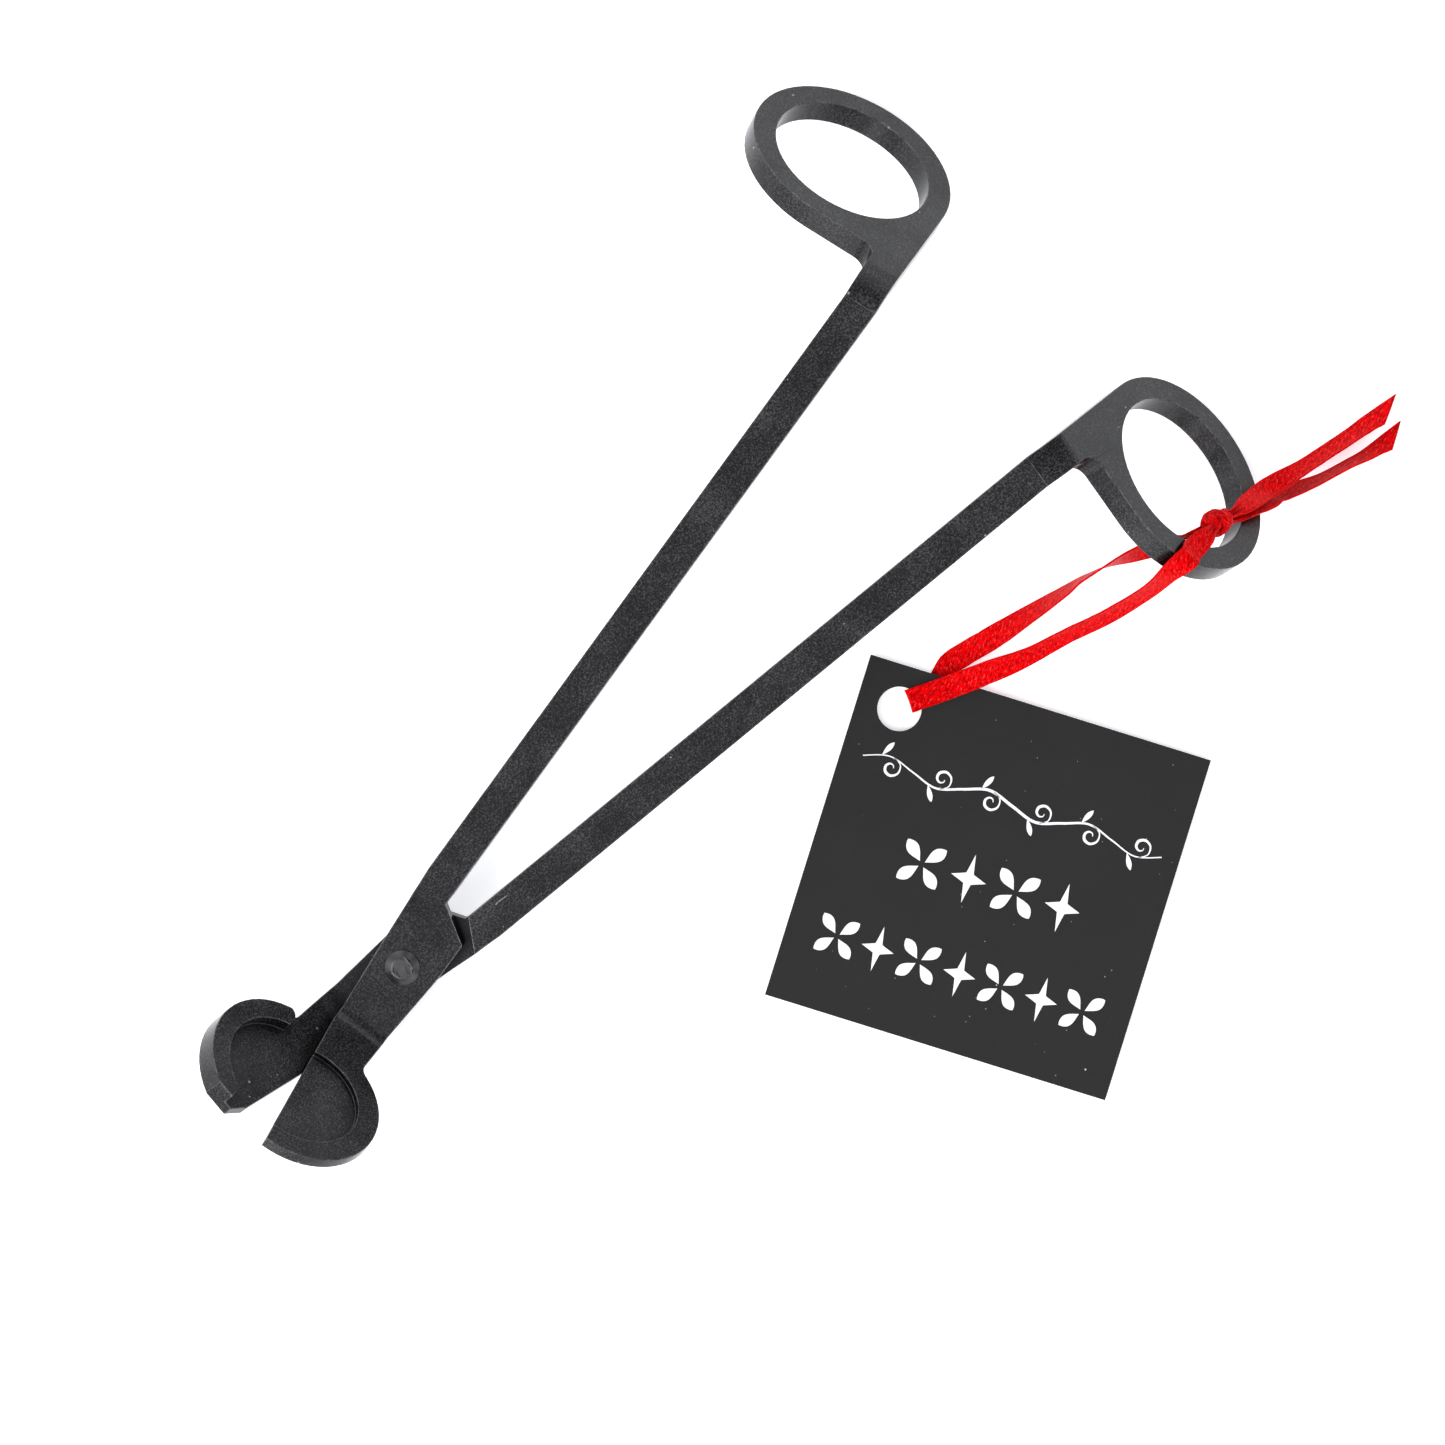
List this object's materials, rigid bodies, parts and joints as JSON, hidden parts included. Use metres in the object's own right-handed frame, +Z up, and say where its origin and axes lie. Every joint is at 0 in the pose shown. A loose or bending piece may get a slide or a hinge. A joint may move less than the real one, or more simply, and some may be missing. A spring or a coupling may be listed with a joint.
{
  "type": "wick trimmer",
  "caption": "Candle wick trimmer: riveted twin steel levers with an angled half-lap cutting head, a rimmed catch tray, bent finger rings, and a square hang tag tied on with ribbon.",
  "frame": {"origin": "on the table, under the middle of the bounding box of the levers and rivet", "axes": "+X from the cutting head to the finger rings along the line between the open levers, +Y to the cutting lever's ring, +Z up"},
  "size_m": [0.186, 0.1328, 0.0318],
  "materials": {
    "coated_steel": "matte black powder coat",
    "rivet_steel": "satin black, rubbed on top",
    "tag_card": "uncoated black card with white print",
    "satin_ribbon": "red satin weave"
  },
  "bodies": {
    "tray_half": {"tray_lever": "coated_steel", "pivot_rivet": "rivet_steel", "ribbon_loop": "satin_ribbon", "ribbon_knot": "satin_ribbon", "ribbon_tail_upper": "satin_ribbon", "ribbon_tail_lower": "satin_ribbon"},
    "blade_half": {"blade_lever": "coated_steel"},
    "tag": {"hang_tag": "tag_card"}
  },
  "joints": [
    {"name": "lever_pivot", "type": "hinge", "parent": "tray_half", "child": "blade_half", "pos_m": [-0.0526, 0, 0.00579], "axis": [-0.2246, 0, 0.9744], "range_deg": [-14, 40]},
    {"name": "tag_swing", "type": "hinge", "parent": "tray_half", "child": "tag", "pos_m": [0.0227, -0.0261, 0.00075], "axis": [0, 0, 1], "range_deg": [-60, 0]}
  ]
}
